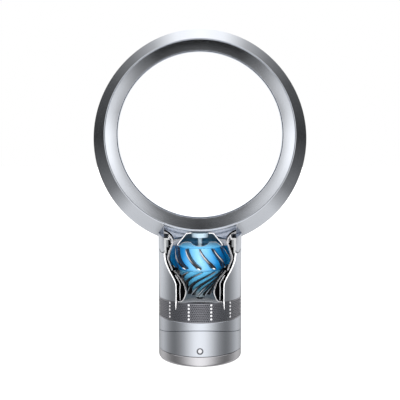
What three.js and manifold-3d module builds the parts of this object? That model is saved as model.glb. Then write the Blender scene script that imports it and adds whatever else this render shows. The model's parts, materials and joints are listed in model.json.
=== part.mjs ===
// Bladeless desk fan, shown as a working section: the front of the casing and the front half of the
// air duct are cut away, so the mixed-flow impeller and the diffuser vanes stand open to view.
// Millimetres, +Z up, front facing -Y, origin on the floor under the middle of the round base.

import * as THREE from 'three';
import { mergeGeometries, mergeVertices } from 'three/addons/utils/BufferGeometryUtils.js';
import Module from 'manifold-3d';

const wasm = await Module();
wasm.setup();

// ---------------------------------------------------------------- driving dimensions

const SEAT = 0.3;                   // gap kept between two pieces that touch
const JOINT_LINE = 0.8;             // dark line left between casings that move on each other

const BODY_RADIUS = 70;             // foot, base, casing and collar share one outline
const WALL = 2.5;                   // moulded wall of those casings
const INNER_RADIUS = BODY_RADIUS - WALL;

const PAD_DEPTH = 1.2;              // the rubber ring stands this far proud under the foot
const FOOT_TOP = 18.3;
const FOOT_ROUND = 6;               // radius of the foot's lower edge
const SADDLE_RADIUS = 196;          // the body slides on the base along this arc
const TILT_AXIS_Z = 245.3;
const GRILLE_BOTTOM = 74.6;
const GRILLE_TOP = 106.3;
const CASING_TOP = 182.6;
const COLLAR_SHOULDER = 185;        // where the collar starts to round off at front and back
const COLLAR_CROWN = 213.5;
const CUT_PLANE = 0;                // the duct keeps only what lies behind this plane
const COLLAR_CUT = -38;             // the collar is cut flat at this depth
const COLLAR_WALL = 3.2;
const ROTOR_TOP = 151.7;            // the impeller ends here, just under the diffuser hub
const FLANGE_HEIGHT = 92.2;         // mouth of the shroud, flush with the bulkhead round it

const LOOP_Z = 374;                 // centre of the loop
const LOOP_RADIUS = 178;
const LOOP_WALL = 2.2;
const EDGE_RADIUS = 152.5;          // front edge, where the two loop casings meet
const EDGE_Y = -44;
const CROWN_Y = 11;                 // depth at which the loop is widest
const REAR_DEPTH = 35;              // the back of the loop is a half ellipse, 20 by 35
const REAR_WIDTH = 20;

const BLADES = 11;
const BLADE_LAG = 8.6;              // degrees that the blades' feet stand back from the front
const VANES = 12;
const GRILLE_ZONES = 12;

const GEAR_MODULE = 1.5;
const RING_TEETH = 40;
const PINION_TEETH = 10;
const PINION_X = 0;
const PINION_Y = (RING_TEETH - PINION_TEETH) * GEAR_MODULE / 2;

const BUTTON_Z = 28.4;
const GLAND_Z = 11.2;

const FINE = 40;                    // steps round the large outlines
const MEDIUM = 28;
const SMALL = 12;

const DEG = Math.PI / 180;

// Air path: radius against height. The duct narrows to a throat under the impeller.
const SHROUD_INNER = [
  [42.8, 147.2], [35.0, 137.2], [27.4, 126.3], [23.7, 115.2], [23.0, 107.7],
  [26.4, 97.8], [30.7, 92.7], [37.8, FLANGE_HEIGHT],
];
const DUCT_INNER = [
  [45.6, 147.6], [49.9, 159.0], [53.1, 167.7], [52.0, 174.3], [46.6, 189.5], [44.4, 196.0],
];
const IMPELLER_HUB = [
  [10.5, 103.0], [15.5, 113.0], [30.0, 136.0], [35.5, 146.4], [38.4, ROTOR_TOP],
];
const DIFFUSER_HUB = [[38.6, 152.2], [42.0, 157.0], [44.5, 169.0], [38.6, 190.0]];

// ---------------------------------------------------------------- geometry helpers

// Welded, position-only copy with no collapsed triangles and its faces pointing out.
function weld(geometry) {
  const bare = geometry.clone();
  bare.deleteAttribute('normal');
  bare.deleteAttribute('uv');
  const merged = mergeVertices(bare, 1e-4);
  const point = merged.getAttribute('position');
  const corners = merged.index.array;
  const kept = [];
  let volume = 0;
  const [a, b, c] = [new THREE.Vector3(), new THREE.Vector3(), new THREE.Vector3()];
  for (let i = 0; i < corners.length; i += 3) {
    const [p, q, r] = [corners[i], corners[i + 1], corners[i + 2]];
    if (p === q || q === r || r === p) continue;
    a.fromBufferAttribute(point, p);
    b.fromBufferAttribute(point, q);
    c.fromBufferAttribute(point, r);
    volume += a.dot(b.cross(c));
    kept.push([p, q, r]);
  }
  const facing = volume < 0 ? kept.map(([p, q, r]) => [p, r, q]) : kept;
  const welded = new THREE.BufferGeometry();
  welded.setAttribute('position', point.clone());
  welded.setIndex(new THREE.BufferAttribute(new Uint32Array(facing.flat()), 1));
  return welded;
}

function solid(geometry) {
  const welded = weld(geometry);
  return new wasm.Manifold(new wasm.Mesh({
    numProp: 3,
    vertProperties: welded.getAttribute('position').array,
    triVerts: welded.index.array,
  }));
}

function surface(manifold) {
  const mesh = manifold.getMesh();
  const geometry = new THREE.BufferGeometry();
  geometry.setAttribute('position', new THREE.BufferAttribute(mesh.vertProperties, 3));
  geometry.setIndex(new THREE.BufferAttribute(mesh.triVerts, 1));
  return geometry;
}

const join = (solids) => solids.reduce((whole, next) => whole.add(next));
const cut = (whole, tools) => tools.reduce((left, tool) => left.subtract(tool), whole);

// Revolve round Z. A profile of [radius, height] that leaves the axis closes on itself.
function revolve(profile, steps = FINE) {
  return revolveRoundY(profile, steps).rotateX(90 * DEG);
}

// Revolve round Y, the loop's own axis.
function revolveRoundY(profile, steps = FINE) {
  const points = profile.map(([r, h]) => new THREE.Vector2(r, h));
  const onAxis = profile[0][0] === 0 && profile[profile.length - 1][0] === 0;
  if (!onAxis) points.push(points[0].clone());
  return new THREE.LatheGeometry(points, steps);
}

function tube(inner, outer, low, high, steps = FINE) {
  return revolve([[inner, low], [outer, low], [outer, high], [inner, high]], steps);
}

function rod(radius, low, high, steps = SMALL) {
  return revolve([[0, low], [radius, low], [radius, high], [0, high]], steps);
}

function block(x0, x1, y0, y1, z0, z1) {
  return new THREE.BoxGeometry(x1 - x0, y1 - y0, z1 - z0)
    .translate((x0 + x1) / 2, (y0 + y1) / 2, (z0 + z1) / 2);
}

function outlineShape(points) {
  return new THREE.Shape(points.map(([u, v]) => new THREE.Vector2(u, v)));
}

// Outline in (y, z), run along X.
function alongX(points, x0, x1) {
  const basis = new THREE.Matrix4().makeBasis(
    new THREE.Vector3(0, 1, 0), new THREE.Vector3(0, 0, 1), new THREE.Vector3(1, 0, 0));
  return new THREE.ExtrudeGeometry(outlineShape(points), { depth: x1 - x0, bevelEnabled: false })
    .applyMatrix4(basis).translate(x0, 0, 0);
}

// Outline in (x, z), run along Y.
function alongY(points, y0, y1) {
  const basis = new THREE.Matrix4().makeBasis(
    new THREE.Vector3(1, 0, 0), new THREE.Vector3(0, 0, 1), new THREE.Vector3(0, -1, 0));
  return new THREE.ExtrudeGeometry(outlineShape(points), { depth: y1 - y0, bevelEnabled: false })
    .applyMatrix4(basis).translate(0, y1, 0);
}

function arc(centreU, centreV, radiusU, radiusV, from, to, steps) {
  return Array.from({ length: steps + 1 }, (_, i) => {
    const angle = (from + (to - from) * i / steps) * DEG;
    return [centreU + radiusU * Math.cos(angle), centreV + radiusV * Math.sin(angle)];
  });
}

// Radius of a [radius, height] profile at one height.
function radiusAt(profile, height) {
  const rising = [...profile].sort((p, q) => p[1] - q[1]);
  const next = Math.max(1, rising.findIndex(([, z]) => z >= height));
  const [[r0, z0], [r1, z1]] = [rising[next - 1], rising[next]];
  return r0 + (r1 - r0) * (height - z0) / (z1 - z0);
}

const shifted = (profile, dr, dz = 0) => profile.map(([r, z]) => [r + dr, z + dz]);

// Everything in front of the section plane, to take off a full revolve.
const frontHalf = () => solid(block(-200, 200, -200, CUT_PLANE, 60, 240));

// A closed strip through stations of four corners each.
function strip(stations) {
  const position = stations.flat(2);
  const index = [];
  for (let s = 0; s < stations.length - 1; s += 1) {
    for (let k = 0; k < 4; k += 1) {
      const [p, q] = [4 * s + k, 4 * s + (k + 1) % 4];
      index.push(p, q, q + 4, p, q + 4, p + 4);
    }
  }
  const last = 4 * (stations.length - 1);
  index.push(0, 2, 1, 0, 3, 2, last, last + 1, last + 2, last, last + 2, last + 3);
  const geometry = new THREE.BufferGeometry();
  geometry.setAttribute('position', new THREE.Float32BufferAttribute(position, 3));
  geometry.setIndex(index);
  return geometry;
}

// ---------------------------------------------------------------- scene graph

const fan = new THREE.Group();

const paint = {
  silver: { color: 0xc3c7d0, roughness: 0.3, metalness: 0.75 },
  cutEdge: { color: 0xf2f2f4, roughness: 0.5, metalness: 0.0 },
  grille: { color: 0x6d6a74, roughness: 0.45, metalness: 0.4 },
  charcoal: { color: 0x2b2b30, roughness: 0.6, metalness: 0.1 },
  blue: { color: 0x35a8e0, roughness: 0.25, metalness: 0.1 },
  rubber: { color: 0x1b1b1d, roughness: 0.9, metalness: 0.0 },
  steel: { color: 0xb9bcc2, roughness: 0.25, metalness: 1.0 },
  resin: { color: 0x2f7a4d, roughness: 0.6, metalness: 0.0 },
  white: { color: 0xe8eaee, roughness: 0.5, metalness: 0.0 },
};

function addPiece(name, geometry, finish) {
  const mesh = new THREE.Mesh(weld(geometry), new THREE.MeshStandardMaterial(paint[finish]));
  mesh.name = name;
  fan.add(mesh);
}

// ---------------------------------------------------------------- foot: stays on the table

const FOOT_FLOOR = 3.7;             // upper face of the foot's floor
const BEARING_WALL = [45, 49];      // round wall that carries the thrust ring
const BEARING_SEAT = 14.7;
const SPINDLE_RADIUS = 9.7;
const SPINDLE_BORE = 7.5;
const PLATE_BOTTOM = 20.1;
const PLATE_TOP = 22.6;
const PLATE_BOSS_TOP = 24.1;
const GEAR_BOTTOM = 8;
const GEAR_TOP = 14;

function footShell() {
  const [wallIn, wallOut] = BEARING_WALL;
  const corner = BODY_RADIUS - FOOT_ROUND;
  const profile = [
    [SPINDLE_RADIUS + SEAT, PAD_DEPTH],
    ...arc(corner, PAD_DEPTH + FOOT_ROUND, FOOT_ROUND, FOOT_ROUND, -90, 0, 3),
    [BODY_RADIUS, FOOT_TOP], [INNER_RADIUS, FOOT_TOP],
    ...arc(corner, PAD_DEPTH + FOOT_ROUND, FOOT_ROUND - WALL, FOOT_ROUND - WALL, 0, -90, 1),
    [wallOut, FOOT_FLOOR], [wallOut, BEARING_SEAT], [wallIn, BEARING_SEAT],
    [wallIn, GEAR_BOTTOM - SEAT], [33, GEAR_BOTTOM - SEAT], [33, FOOT_FLOOR],
    [SPINDLE_RADIUS + SEAT, FOOT_FLOOR],
  ];
  const glandHole = solid(rod(5.2, 0, 40, SMALL).rotateX(-90 * DEG).translate(0, 56, GLAND_Z));
  return surface(solid(revolve(profile)).subtract(glandHole));
}

function cableGland() {
  // Round bush along Y with its flange behind the wall.
  const profile = [[2.5, 62], [5.9, 62], [5.9, 65.6], [4.6, 65.6], [4.6, 69.5], [2.5, 69.5]];
  return revolveRoundY(profile, SMALL).translate(0, 0, GLAND_Z);
}

function swivelSpindle() {
  const groove = SPINDLE_RADIUS - 1;
  return revolve([
    [SPINDLE_BORE, 1.6], [SPINDLE_RADIUS, 1.6], [SPINDLE_RADIUS, 4], [18, 4], [18, 6],
    [SPINDLE_RADIUS, 6], [SPINDLE_RADIUS, 24.4], [groove, 24.4], [groove, 25.8],
    [SPINDLE_RADIUS, 25.8], [SPINDLE_RADIUS, 27.2], [SPINDLE_BORE, 27.2],
  ], SMALL);
}

function spindleClip() {
  // Open spring ring in the spindle's groove.
  const ring = solid(tube(SPINDLE_RADIUS - 0.7, 14, 24.6, 25.5, SMALL));
  return surface(ring.subtract(solid(block(-3, 3, -16, 0, 24, 26))));
}

function gearOutline(teeth, tip, root, tipShare, rootShare, phase) {
  const pitch = 360 / teeth;
  const outline = [];
  for (let tooth = 0; tooth < teeth; tooth += 1) {
    const centre = phase + tooth * pitch;
    const corners = [
      [root, -rootShare], [tip, -tipShare], [tip, tipShare], [root, rootShare],
    ];
    for (const [radius, share] of corners) {
      const angle = (centre + share * pitch) * DEG;
      outline.push([radius * Math.cos(angle), radius * Math.sin(angle)]);
    }
  }
  return outline;
}

function ringGear() {
  // Teeth point inwards. A space, not a tooth, faces the pinion at rest.
  const pitchRadius = RING_TEETH * GEAR_MODULE / 2;
  const phase = 90 + 180 / RING_TEETH;
  const teeth = gearOutline(RING_TEETH, pitchRadius - 1.2, pitchRadius + 1.9, 0.13, 0.25, phase);
  const shape = new THREE.Shape().absarc(0, 0, 36, 0, 360 * DEG);
  shape.holes.push(new THREE.Path(teeth.map(([x, y]) => new THREE.Vector2(x, y))));
  const depth = GEAR_TOP - GEAR_BOTTOM;
  return new THREE.ExtrudeGeometry(shape, { depth, bevelEnabled: false, curveSegments: SMALL })
    .translate(0, 0, GEAR_BOTTOM);
}

// ---------------------------------------------------------------- base: swivels on the foot

const BASE_BOTTOM = FOOT_TOP + JOINT_LINE;
const SADDLE_TOP_RADIUS = SADDLE_RADIUS + JOINT_LINE / 2;
const SADDLE_UNDER_RADIUS = SADDLE_TOP_RADIUS + WALL;
const GUIDE_X = 34;

// Cylinder segment along X round the tilt axis, cut off well above the saddle.
function saddleDrum(radius) {
  const steps = 12;
  const low = arc(0, TILT_AXIS_Z, radius, radius, -115, -65, steps);
  return solid(alongX([...low, [low[steps][0], 200], [low[0][0], 200]], -90, 90));
}

function baseShell() {
  const outer = solid(rod(BODY_RADIUS, BASE_BOTTOM, 70, FINE)).subtract(
    saddleDrum(SADDLE_TOP_RADIUS));
  const inner = solid(rod(INNER_RADIUS, 0, 69, FINE)).subtract(saddleDrum(SADDLE_UNDER_RADIUS));
  const holes = [
    solid(rod(5.5, 0, 30, SMALL).rotateX(90 * DEG).translate(0, -50, BUTTON_Z)),
    solid(rod(9, 40, 60, SMALL)),
    ...[-GUIDE_X, GUIDE_X].map((x) => solid(block(x - 3.2, x + 3.2, -4, 4, 40, 60))),
  ];
  return surface(cut(outer, [inner, ...holes]));
}

function basePlate() {
  const profile = [
    [SPINDLE_RADIUS + SEAT, PLATE_BOTTOM], [INNER_RADIUS - SEAT, PLATE_BOTTOM],
    [INNER_RADIUS - SEAT, PLATE_TOP], [16, PLATE_TOP], [16, PLATE_BOSS_TOP],
    [SPINDLE_RADIUS + SEAT, PLATE_BOSS_TOP],
  ];
  const posts = [[-26, -46], [26, -46], [-26, -28], [26, -28]].map(([x, y]) =>
    solid(rod(2.5, PLATE_TOP - 1, 26.7, 8).translate(x, y, 0)));
  const pinionHole = solid(rod(4.5, 15, 30, SMALL).translate(PINION_X, PINION_Y, 0));
  const bezelNotch = solid(block(-8, 8, -75, -64.5, 15, 30));
  return surface(cut(join([solid(revolve(profile, MEDIUM)), ...posts]), [pinionHole, bezelNotch]));
}

function tiltGuide(side) {
  // Stem through the floor's slot, foot under the saddle, head over the floor.
  const x = side * GUIDE_X;
  return surface(join([
    solid(block(x - 2.9, x + 2.9, -3.6, 3.6, 45, 54)),
    solid(block(x - 6, x + 6, -8, 8, 43.6, 45.9)),
    solid(block(x - 6, x + 6, -8, 8, 53.0, 55.4)),
  ]));
}

function circuitBoard() {
  const board = solid(block(-31, 31, -51, -23, 27, 28.6));
  const parts = [
    block(-24, -12, -46, -36, 28, 40), block(-6, 8, -44, -32, 28, 32),
    block(14, 26, -48, -34, 28, 36),
  ].map(solid);
  const capacitors = [-18, 0, 20].map((x) => solid(rod(3, 28, 37, 8).translate(x, -28, 0)));
  return surface(join([board, ...parts, ...capacitors]));
}

function oscillationMotor() {
  // The shaft leaves the can off centre, as on small synchronous gear motors.
  const can = solid(rod(17, PLATE_TOP + SEAT, 37, 24).translate(0, PINION_Y + 12, 0));
  const boss = solid(rod(6, 36, 39, SMALL).translate(PINION_X, PINION_Y, 0));
  const bore = solid(rod(2.9, 20, 34, SMALL).translate(PINION_X, PINION_Y, 0));
  return surface(can.add(boss).subtract(bore));
}

function oscillationPinion() {
  const pitchRadius = PINION_TEETH * GEAR_MODULE / 2;
  const outline = gearOutline(PINION_TEETH, pitchRadius + 1.2, pitchRadius - 1.9, 0.11, 0.22, 90);
  const wheel = new THREE.ExtrudeGeometry(outlineShape(outline), { depth: 5, bevelEnabled: false })
    .translate(0, 0, GEAR_BOTTOM + 0.5);
  const shaft = rod(2.5, GEAR_BOTTOM + 3, 33.5, 12);
  return surface(solid(wheel).add(solid(shaft))).translate(PINION_X, PINION_Y, 0);
}

// ---------------------------------------------------------------- power button

// Profiles of [radius, depth behind the axis], revolved round Y at the button's height.
function buttonRevolve(profile) {
  return revolveRoundY(profile, SMALL).translate(0, 0, BUTTON_Z);
}

function buttonBezel() {
  return buttonRevolve([
    [3, -69.0], [3, -65.4], [7, -65.4], [7, -66.8], [5.2, -66.8], [5.2, -69.7], [4.6, -69.7],
  ]);
}

function powerButton() {
  return buttonRevolve([
    [0, -69.8], [2.0, -69.7], [2.7, -69.2], [2.7, -65.1], [4.4, -65.1], [4.4, -64.3], [2, -64.3],
    [2, -63.9], [0, -63.9],
  ]);
}

function buttonSwitch() {
  const can = solid(block(-3, 3, -62.4, -60.6, BUTTON_Z - 3, BUTTON_Z + 3));
  const plunger = solid(rod(1.5, 0, 1.4, 12).rotateX(90 * DEG).translate(0, -61.4, BUTTON_Z));
  return surface(can.add(plunger));
}

// ---------------------------------------------------------------- body: tilts on the base

const FLOOR_RADIUS = SADDLE_RADIUS - JOINT_LINE / 2;

function lowerCasing() {
  const ring = solid(tube(INNER_RADIUS, BODY_RADIUS, 40, GRILLE_BOTTOM - SEAT));
  return surface(ring.intersect(saddleDrum(FLOOR_RADIUS)));
}

function bodyFloor() {
  const disc = solid(rod(INNER_RADIUS - SEAT, 40, 80, FINE));
  const plate = disc.intersect(saddleDrum(FLOOR_RADIUS)).subtract(
    saddleDrum(FLOOR_RADIUS - WALL));
  const slots = [-GUIDE_X, 0, GUIDE_X].map((x) => {
    const halfWidth = x === 0 ? 9 : 3.3;
    return solid(block(x - halfWidth, x + halfWidth, -39, 39, 40, 70));
  });
  return surface(cut(plate, slots));
}

// One 30 degree panel is drawn flat with its staggered diamond holes, then rolled. The panels
// share their upright edges, so the end walls are left off and the ring closes.
function intakeGrille() {
  const zoneAngle = 360 / GRILLE_ZONES;
  const width = zoneAngle * DEG * BODY_RADIUS;
  const height = GRILLE_TOP - GRILLE_BOTTOM;
  const [columns, rows] = [3, 3];
  const step = 10.2;
  const pitch = 10.0;
  const [halfWidth, halfHeight] = [8.0, 4.1];
  const margin = (width - (columns - 1) * step) / 2;
  const railAt = Array.from({ length: columns + 2 }, (_, i) => i * width / (columns + 1));
  const outline = [
    ...railAt.map((x) => [x, 0]),
    ...[...railAt].reverse().map((x) => [x, height]),
  ];
  const shape = outlineShape(outline);
  for (let column = 0; column < columns; column += 1) {
    const staggered = column % 2;
    for (let row = 0; row < rows - staggered; row += 1) {
      const x = margin + column * step;
      const z = height / 2 + (row - (rows - 1 - staggered) / 2) * pitch;
      shape.holes.push(new THREE.Path([
        [x - halfWidth, z], [x, z - halfHeight], [x + halfWidth, z], [x, z + halfHeight],
      ].map(([u, v]) => new THREE.Vector2(u, v))));
    }
  }
  const flat = new THREE.ExtrudeGeometry(shape, { depth: WALL - 0.5, bevelEnabled: false });
  const panel = withoutEndWalls(flat, width);
  const rolled = (zone) => {
    const ring = panel.clone();
    const point = ring.getAttribute('position');
    for (let i = 0; i < point.count; i += 1) {
      const angle = (zone * zoneAngle - 90 - zoneAngle / 2) * DEG + point.getX(i) / BODY_RADIUS;
      const radius = BODY_RADIUS - (WALL - 0.5) + point.getZ(i);
      const z = GRILLE_BOTTOM + point.getY(i);
      point.setXYZ(i, radius * Math.cos(angle), radius * Math.sin(angle), z);
    }
    return ring;
  };
  return mergeGeometries(Array.from({ length: GRILLE_ZONES }, (_, zone) => rolled(zone)));
}

function withoutEndWalls(flat, width) {
  const point = flat.getAttribute('position');
  const kept = [];
  for (let i = 0; i < point.count; i += 3) {
    const xs = [0, 1, 2].map((k) => point.getX(i + k));
    const onEnd = xs.every((x) => x < 1e-4) || xs.every((x) => x > width - 1e-4);
    if (onEnd) continue;
    for (let k = 0; k < 3; k += 1) kept.push(point.getX(i + k), point.getY(i + k), point.getZ(i + k));
  }
  const panel = new THREE.BufferGeometry();
  panel.setAttribute('position', new THREE.Float32BufferAttribute(kept, 3));
  return panel;
}

// Half of the window's outline, from its sill up: a straight stem that flares like a glass.
const WINDOW_SILL = 108.6;
const WINDOW_HALF = [
  [39.3, WINDOW_SILL], [39.4, 130.3], [40.4, 137.5], [44.7, 146.1], [51.1, 156.4], [57.0, 168.7],
  [59.3, 181.8], [59.3, 190],
];

function windowPrism(grow) {
  const right = WINDOW_HALF.map(([x, z]) => [x + grow, z]);
  const left = right.map(([x, z]) => [-x, z]).reverse();
  return solid(alongY([...right, ...left], -90, -15));
}

function upperCasing() {
  const ring = solid(tube(INNER_RADIUS, BODY_RADIUS, GRILLE_TOP + SEAT, CASING_TOP));
  return surface(ring.subtract(windowPrism(0)));
}

// ---------------------------------------------------------------- loop and collar

// Outside of the loop from the front edge, over the crown, round the back to the slot lip.
function loopOutside(grow = 0) {
  const centre = LOOP_RADIUS - REAR_WIDTH;
  return [
    [EDGE_RADIUS + 0.5, EDGE_Y], [172.6, -6], [176.4, 2],
    ...arc(centre, CROWN_Y, REAR_WIDTH + grow, REAR_DEPTH + grow, 0, 125, 5),
  ];
}

function loopOuterCasing() {
  const centre = LOOP_RADIUS - REAR_WIDTH;
  const profile = [
    ...loopOutside(), [141.6, 35.4], [138.6, 25], [139.8, 25], [143.1, 33.8],
    ...arc(centre, CROWN_Y, REAR_WIDTH - LOOP_WALL, REAR_DEPTH - LOOP_WALL, 123, 0, 3),
    [170.6, -5], [EDGE_RADIUS - 0.5, -41.1], [EDGE_RADIUS - 0.5, -43.7],
  ];
  const ring = solid(revolveRoundY(profile).translate(0, 0, LOOP_Z));
  const neckHole = solid(rod(NECK_RADIUS, 190, 210, MEDIUM).scale(NECK_WIDENING, 1, 1));
  const section = solid(block(-60, 60, -80, CUT_PLANE, 190, LOOP_Z - EDGE_RADIUS + 14));
  const keepEdge = solid(revolveRoundY([[100, -90], [EDGE_RADIUS + 1, -90], [EDGE_RADIUS + 1, 20],
    [100, 20]]).translate(0, 0, LOOP_Z));
  const flares = [-1, 1].map((side) => solid(neckFlare(side)));
  return surface(join([cut(ring, [neckHole, section.subtract(keepEdge)]), ...flares]));
}

// Curved wall at one side of the neck: it leads the air from the duct out into the loop.
const NECK_RADIUS = 45.5;
const NECK_WIDENING = 51.5 / NECK_RADIUS;
const FLARE_DEPTH = 22;

function neckFlare(side) {
  const airSide = [
    [44.9, 197.0], [46.4, 201.5], [48.9, 205.6], [54.5, 210.6], [61.0, 213.6], [63.5, 214.1],
  ];
  const backSide = [
    [63.5, 211.0], [59.5, 209.0], [55.8, 206.6], [50.8, 203.2], [48.6, 200.2], [47.1, 197.0],
  ];
  const outline = [...airSide, ...backSide].map(([x, z]) => [side * x, z]);
  return alongY(outline, CUT_PLANE + SEAT, FLARE_DEPTH);
}

function loopInnerCasing() {
  const profile = [
    [151.5, -43.6], [140.6, 18], [141.2, 25], [144.4, 32], [146.2, 30.9],
    [143.1, 24.4], [142.6, 18.4], [152.3, -37], [151.7, -43.6],
  ];
  // Small ribs hold the slot open; they end just short of the outer casing's lip.
  const ribs = Array.from({ length: 6 }, (_, i) =>
    solid(block(-1, 1, 26.5, 29.5, 141.9, 144).rotateY((60 * i + 30) * DEG)));
  return surface(join([solid(revolveRoundY(profile)), ...ribs])).translate(0, 0, LOOP_Z);
}

// Drum rounded off to front and back by a vault, and drawn in all round by one wall thickness.
function collarDrum(drawnIn, bottom) {
  const crownY = 8;
  const rise = COLLAR_CROWN - COLLAR_SHOULDER - drawnIn;
  const radius = BODY_RADIUS - drawnIn;
  const vault = solid(alongX([
    ...arc(crownY, COLLAR_SHOULDER, radius - crownY, rise, 0, 90, 7),
    ...arc(crownY, COLLAR_SHOULDER, radius + crownY, rise, 97, 180, 7),
    [-radius, 150], [radius, 150],
  ], -90, 90));
  return solid(rod(radius, bottom, 230, FINE)).intersect(vault);
}

function neckCollar() {
  // A hollow drum that rises under the loop at its sides, thicker where it grips the loop.
  const lipHeight = 193;
  const hollow = collarDrum(COLLAR_WALL, 151);
  const lip = solid(tube(64.2, BODY_RADIUS, lipHeight, 240)).intersect(collarDrum(0.5, 160));
  const envelope = solid(revolveRoundY([
    ...shifted(loopOutside(SEAT), SEAT), [120, 40], [120, EDGE_Y],
  ]).translate(0, 0, LOOP_Z));
  return surface(cut(collarDrum(0, CASING_TOP + SEAT).subtract(hollow).add(lip), [
    envelope,
    solid(block(-90, 90, -90, COLLAR_CUT, 150, 240)),
    solid(block(-51.8, 51.8, -90, CUT_PLANE, 190, 240)),
  ]));
}

// ---------------------------------------------------------------- duct, shroud and foam

function halfRevolve(profile, steps = MEDIUM) {
  return surface(solid(revolve(profile, steps)).subtract(frontHalf()));
}

function diffuserDuct() {
  const outside = [
    [49.2, 196.3], [49.2, 194.3], [47.2, 194.0], [48.7, 189.8], [54.0, 175.0], [55.2, 167.5],
    [52.0, 158.2], [48.0, 147.6],
  ];
  return halfRevolve([...DUCT_INNER, ...outside]);
}

function impellerShroud() {
  const outside = [
    [37.8, FLANGE_HEIGHT + 1.7], [31.6, 94.5], [28.2, 98.8], [24.9, 107.9], [25.6, 114.8], [29.2, 125.3],
    [36.7, 136.0], [44.6, 146.0], [44.6, 147.2],
  ];
  return halfRevolve([...SHROUD_INNER, ...outside]);
}

function shroudJacket() {
  const inside = [[40.9, 139.2], [36.9, 132.6], [33.0, 124.0], [33.4, 113.0], [32.6, 95.4]];
  return halfRevolve([...inside, ...shifted(inside, 1.6).reverse()]);
}

const BULKHEAD_THICKNESS = 2;

// Ring that parts the intake below from the space round the duct.
function bulkheadRing() {
  const top = FLANGE_HEIGHT + BULKHEAD_THICKNESS;
  return surface(solid(tube(38.2, INNER_RADIUS - SEAT - 0.5, FLANGE_HEIGHT, top, MEDIUM))
    .subtract(frontHalf()));
}

// Lining of the casing from the bulkhead up; it fills the space round the duct's shoulder.
function acousticFoam() {
  const bottom = FLANGE_HEIGHT + BULKHEAD_THICKNESS + SEAT;
  const behindGrille = 66.2;
  return halfRevolve([
    [behindGrille, bottom], [behindGrille, GRILLE_TOP + 1], [INNER_RADIUS - SEAT, GRILLE_TOP + 1],
    [INNER_RADIUS - SEAT, 178.7], [57.6, 178.7], [57.6, 168.0], [54.6, 158.0], [50.5, 148.0],
    [47.0, 141.5], [47.0, 136], [57.0, 130], [57.0, bottom],
  ]);
}

// ---------------------------------------------------------------- diffuser, motor and impeller

// Twisted strip between two profiles, through stations at the heights where the hub's slope
// changes. Turn (degrees) and thickness are given at a share of the blade's height.
function twistedBlade({ heights, inner, outer, turn, thickness }) {
  const [low, high] = [heights[0], heights[heights.length - 1]];
  const stations = heights.map((z) => {
    const share = (z - low) / (high - low);
    const half = thickness(share) / 2;
    const angle = (turn(share) - 90) * DEG;
    const corner = (radius, side) => {
      const at = angle + side * half / radius;
      return [radius * Math.cos(at), radius * Math.sin(at), z];
    };
    const [near, far] = [inner(z), outer(z)];
    return [corner(near, -1), corner(far, -1), corner(far, 1), corner(near, 1)];
  });
  return strip(stations);
}

function bladeRow(hub, count, blade) {
  const blades = Array.from({ length: count }, (_, i) =>
    solid(twistedBlade(blade).rotateZ(360 / count * i * DEG)));
  return surface(join([solid(hub), ...blades]));
}

function impeller() {
  const hub = revolve([
    [2.8, 103], ...IMPELLER_HUB, [35.4, ROTOR_TOP], [26, 140], [2.8, 140],
  ], 2 * BLADES);
  return bladeRow(hub, BLADES, {
    heights: [105.2, 113, 124.5, 136, 146.4, 151.0],
    inner: (z) => radiusAt(IMPELLER_HUB, z) - 1.2,
    outer: (z) => radiusAt(SHROUD_INNER.slice(0, 5), Math.min(Math.max(z, 107.7), 147.2)) - 1.2,
    turn: (share) => 112 * share ** 1.12 - BLADE_LAG,
    thickness: (share) => 1.8 + 4 * Math.sin(Math.PI * share),
  });
}

function diffuserHub() {
  const shell = revolve([
    [9, 152.2], ...DIFFUSER_HUB,
    ...shifted(DIFFUSER_HUB, -2).reverse().slice(0, 3), [36.0, 154.2], [9, 154.2],
  ], 2 * VANES);
  // Like a fish, each vane has a thick round nose at its lower end and a thin tail on top.
  return bladeRow(shell, VANES, {
    heights: [156.6, 157.6, 160, 164.5, 169, 179, 189.6],
    inner: (z) => radiusAt(DIFFUSER_HUB, z) - 1.0,
    outer: (z) => radiusAt(DUCT_INNER, z) - 0.7,
    turn: (share) => 38 * (1 - share) ** 1.42,
    thickness: (share) => (2 + 6 * (1 - share) ** 1.7) * Math.min(1, 0.45 + 8 * share),
  });
}

function motorCap() {
  // A dome over the diffuser hub. Its front is cut open down to a low apron with a round dip.
  const outside = [[38.4, 190.4], [37.0, 193.6], [25.2, 208.0], [22.4, 210.6], [14.3, 211.6]];
  const inside = [[14.3, 210.0], [21.9, 209.0], [23.9, 207.2], [35.4, 193.0], [36.8, 190.4]];
  const opening = solid(block(-60, 60, -60, CUT_PLANE, 199, 240));
  const dip = solid(rod(15, 0, 60, 24).rotateX(90 * DEG).scale(1, 1, 0.55).translate(0, 0, 201.8));
  return surface(cut(solid(revolve([...outside, ...inside])), [opening, dip]));
}

function motorMountPost() {
  return revolve([
    [0, 188], [5.5, 188], [3.6, 190], [3.6, 204], [13.7, 204], [13.7, 211.8], [0, 211.8],
  ], SMALL);
}

function motorCan() {
  return revolve([
    [3.2, 157], [26, 157], [26, 184], [10, 184], [10, 187.6], [8.4, 187.6], [8.4, 184],
    [3.2, 184],
  ], 24);
}

// ---------------------------------------------------------------- assembly

addPiece('foot_shell', footShell(), 'silver');
addPiece('foot_pad', tube(48, 60, 0, PAD_DEPTH - SEAT, MEDIUM), 'rubber');
addPiece('cable_gland', cableGland(), 'rubber');
addPiece('swivel_spindle', swivelSpindle(), 'steel');
addPiece('spindle_clip', spindleClip(), 'steel');
addPiece('swivel_bearing', tube(44.5, 50.5, BEARING_SEAT + SEAT, PLATE_BOTTOM - SEAT, MEDIUM), 'white');
addPiece('ring_gear', ringGear(), 'white');

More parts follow.
